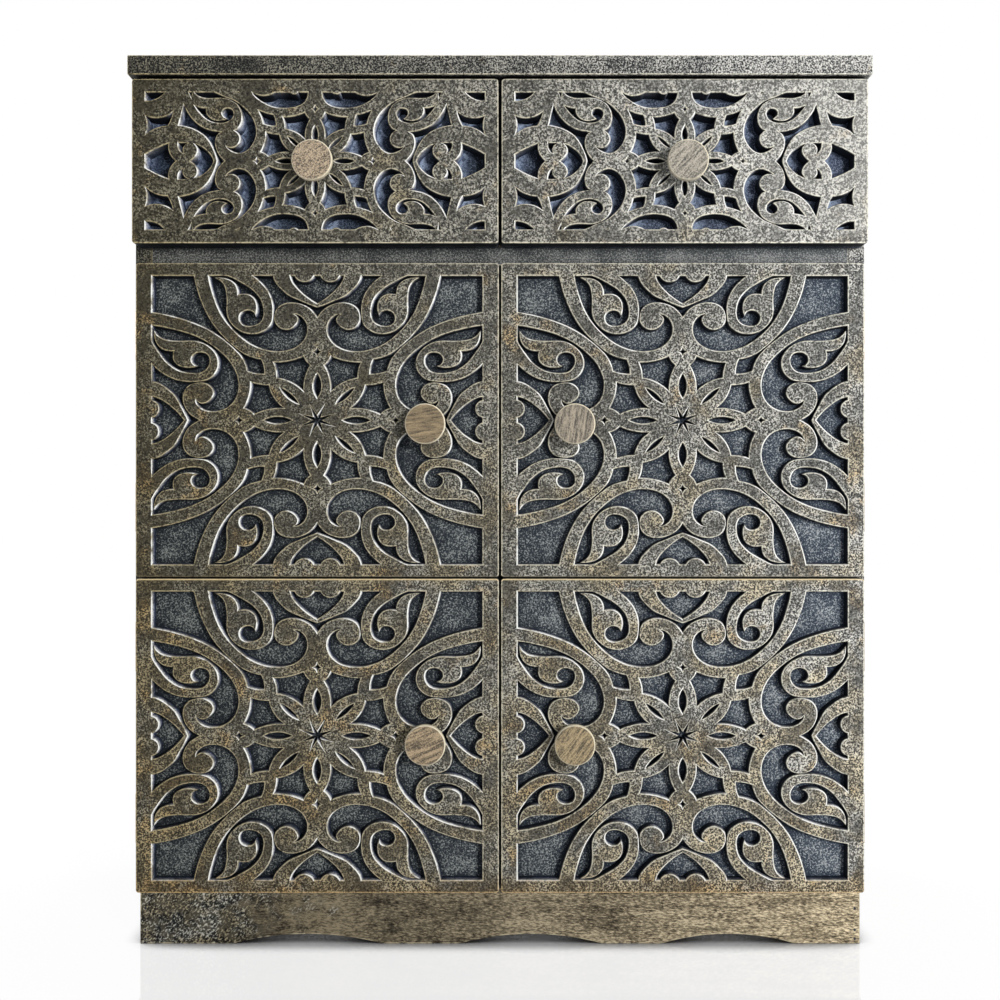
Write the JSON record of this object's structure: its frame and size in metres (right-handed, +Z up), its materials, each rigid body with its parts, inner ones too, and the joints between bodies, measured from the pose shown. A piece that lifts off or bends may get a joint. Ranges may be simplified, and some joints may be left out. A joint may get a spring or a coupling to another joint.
{
  "type": "carved cabinet",
  "caption": "Wooden cabinet with carved, pierced fronts: drawers above hinged doors, round knobs and a scalloped plinth.",
  "frame": {"origin": "on the floor, at the centre of the bounding box", "axes": "+Z up, front towards -Y, left side at -X as seen from the front"},
  "size_m": [0.74, 0.3774, 0.895],
  "materials": {
    "carved_paint": "dark bronze paint, rubbed with gold",
    "recess_paint": "rough slate paint, flecked with gold",
    "carcass_paint": "dark bronze paint, brushed with gold",
    "plinth_paint": "olive gold paint in level brush strokes",
    "knob_wood": "gold-brown brushed paint, satin",
    "raw_wood": "bare planed softwood",
    "plywood": "bare plywood",
    "steel": "plain",
    "brass": "dull",
    "catch_plastic": "brown, moulded"
  },
  "bodies": {
    "carcass": {"top_board": "carcass_paint", "side_left": "carcass_paint", "side_right": "carcass_paint", "bottom_board": "carcass_paint", "shelf": "carcass_paint", "drawer_deck": "recess_paint", "drawer_divider": "carcass_paint", "back_panel": "plywood", "plinth_front": "plinth_paint", "plinth_side_left": "plinth_paint", "plinth_side_right": "plinth_paint", "plinth_back": "plinth_paint", "plinth_nails": "steel", "plinth_corner_blocks": "raw_wood", "hinge_frame_leaves": "brass", "hinge_pins": "brass", "door_catches": "catch_plastic"},
    "door_upper_left": {"door_upper_left_panel": "recess_paint", "door_upper_left_carving": "carved_paint", "door_upper_left_hinge_leaves": "brass", "door_upper_left_knob": "knob_wood", "door_upper_left_knob_screw": "steel", "door_upper_left_strike_plate": "steel"},
    "door_upper_right": {"door_upper_right_panel": "recess_paint", "door_upper_right_carving": "carved_paint", "door_upper_right_hinge_leaves": "brass", "door_upper_right_knob": "knob_wood", "door_upper_right_knob_screw": "steel", "door_upper_right_strike_plate": "steel"},
    "door_lower_left": {"door_lower_left_panel": "recess_paint", "door_lower_left_carving": "carved_paint", "door_lower_left_hinge_leaves": "brass", "door_lower_left_knob": "knob_wood", "door_lower_left_knob_screw": "steel", "door_lower_left_strike_plate": "steel"},
    "door_lower_right": {"door_lower_right_panel": "recess_paint", "door_lower_right_carving": "carved_paint", "door_lower_right_hinge_leaves": "brass", "door_lower_right_knob": "knob_wood", "door_lower_right_knob_screw": "steel", "door_lower_right_strike_plate": "steel"},
    "drawer_left": {"drawer_left_front": "recess_paint", "drawer_left_carving": "carved_paint", "drawer_left_knob": "knob_wood", "drawer_left_knob_screw": "steel", "drawer_left_bottom": "plywood", "drawer_left_side_inner": "raw_wood", "drawer_left_side_outer": "raw_wood", "drawer_left_box_front": "raw_wood", "drawer_left_box_back": "raw_wood"},
    "drawer_right": {"drawer_right_front": "recess_paint", "drawer_right_carving": "carved_paint", "drawer_right_knob": "knob_wood", "drawer_right_knob_screw": "steel", "drawer_right_bottom": "plywood", "drawer_right_side_inner": "raw_wood", "drawer_right_side_outer": "raw_wood", "drawer_right_box_front": "raw_wood", "drawer_right_box_back": "raw_wood"}
  },
  "joints": [
    {"name": "door_upper_left_hinge", "type": "hinge", "parent": "carcass", "child": "door_upper_left", "pos_m": [-0.3674, -0.14175, 0], "axis": [0, 0, -1], "range_deg": [0, 110]},
    {"name": "door_upper_right_hinge", "type": "hinge", "parent": "carcass", "child": "door_upper_right", "pos_m": [0.3674, -0.14175, 0], "axis": [0, 0, 1], "range_deg": [0, 110]},
    {"name": "door_lower_left_hinge", "type": "hinge", "parent": "carcass", "child": "door_lower_left", "pos_m": [-0.3674, -0.14175, 0], "axis": [0, 0, -1], "range_deg": [0, 110]},
    {"name": "door_lower_right_hinge", "type": "hinge", "parent": "carcass", "child": "door_lower_right", "pos_m": [0.3674, -0.14175, 0], "axis": [0, 0, 1], "range_deg": [0, 110]},
    {"name": "drawer_left_slide", "type": "slide", "parent": "carcass", "child": "drawer_left", "axis": [0, -1, 0], "range_m": [0, 0.24]},
    {"name": "drawer_right_slide", "type": "slide", "parent": "carcass", "child": "drawer_right", "axis": [0, -1, 0], "range_m": [0, 0.24]}
  ]
}
